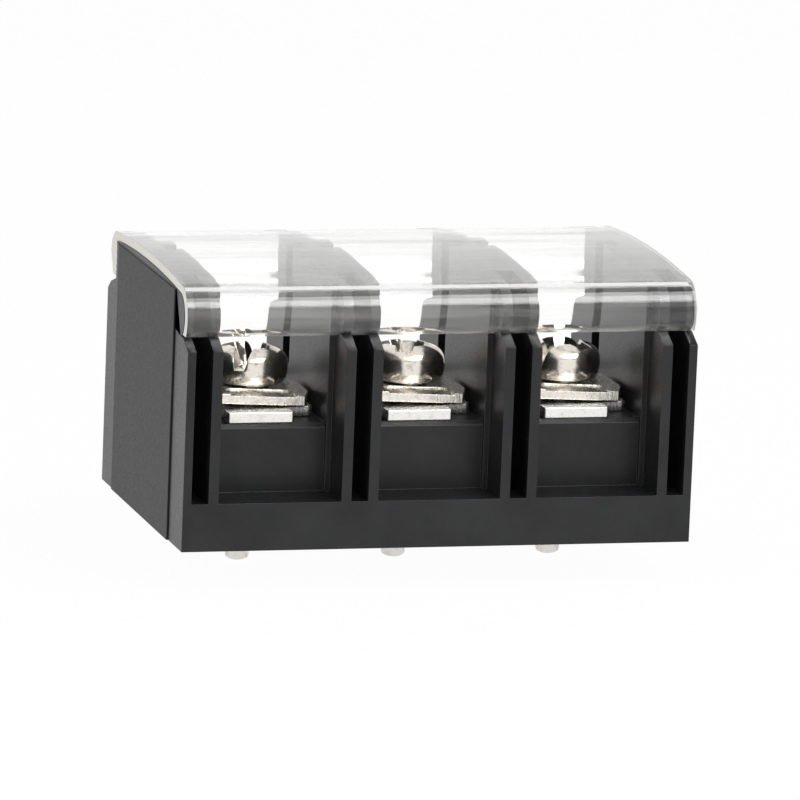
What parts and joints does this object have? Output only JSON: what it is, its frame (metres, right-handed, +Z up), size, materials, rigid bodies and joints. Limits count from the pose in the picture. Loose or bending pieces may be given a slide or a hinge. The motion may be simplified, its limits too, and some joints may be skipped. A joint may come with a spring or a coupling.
{
  "type": "barrier terminal strip",
  "caption": "Barrier terminal strip for a circuit board: screw clamps between raised dividers in a black housing, under a clear cover.",
  "frame": {"origin": "root of the middle solder pin, on its axis, at the housing's bottom face, which sits on the board", "axes": "+X along the strip to the right as seen from the wire side, +Y from the wire side to the rear, +Z up, away from the board"},
  "size_m": [0.0308, 0.02, 0.0183],
  "materials": {
    "housing": "fine-grained black moulded plastic",
    "cover": "clear extruded plastic with fine draw lines",
    "contact": "bright tin or nickel plate on copper alloy",
    "post": "tin plate on turned copper alloy",
    "clamp": "nickel plate on stamped steel, sheared edges",
    "screw": "warm nickel plate on steel"
  },
  "bodies": {
    "base": {"housing": "housing", "contact_plate_1": "contact", "contact_plate_2": "contact", "contact_plate_3": "contact", "solder_post_1": "post", "solder_post_2": "post", "solder_post_3": "post"},
    "cover": {"cover": "cover"},
    "clamp_1": {"clamp_plate_1": "clamp"},
    "screw_1": {"screw_1": "screw"},
    "clamp_2": {"clamp_plate_2": "clamp"},
    "screw_2": {"screw_2": "screw"},
    "clamp_3": {"clamp_plate_3": "clamp"},
    "screw_3": {"screw_3": "screw"}
  },
  "joints": [
    {"name": "cover_slide", "type": "slide", "parent": "base", "child": "cover", "axis": [1, 0, 0], "range_m": [-0.031, 0.031]},
    {"name": "clamp_lift_1", "type": "slide", "parent": "base", "child": "clamp_1", "axis": [0, 0, 1], "range_m": [0, 0.00225]},
    {"name": "screw_turn_1", "type": "hinge", "parent": "clamp_1", "child": "screw_1", "pos_m": [-0.0095, -0.0012, 0.0085], "axis": [0, 0, 1], "range_deg": [0, 1800]},
    {"name": "clamp_lift_2", "type": "slide", "parent": "base", "child": "clamp_2", "axis": [0, 0, 1], "range_m": [0, 0.00225]},
    {"name": "screw_turn_2", "type": "hinge", "parent": "clamp_2", "child": "screw_2", "pos_m": [0, -0.0012, 0.0085], "axis": [0, 0, 1], "range_deg": [0, 1800]},
    {"name": "clamp_lift_3", "type": "slide", "parent": "base", "child": "clamp_3", "axis": [0, 0, 1], "range_m": [0, 0.00225]},
    {"name": "screw_turn_3", "type": "hinge", "parent": "clamp_3", "child": "screw_3", "pos_m": [0.0095, -0.0012, 0.0085], "axis": [0, 0, 1], "range_deg": [0, 1800]}
  ],
  "couplings": [
    {"joint": "screw_turn_1", "follows": "clamp_lift_1", "rad_per_m": 13963},
    {"joint": "screw_turn_2", "follows": "clamp_lift_2", "rad_per_m": 13963},
    {"joint": "screw_turn_3", "follows": "clamp_lift_3", "rad_per_m": 13963}
  ]
}
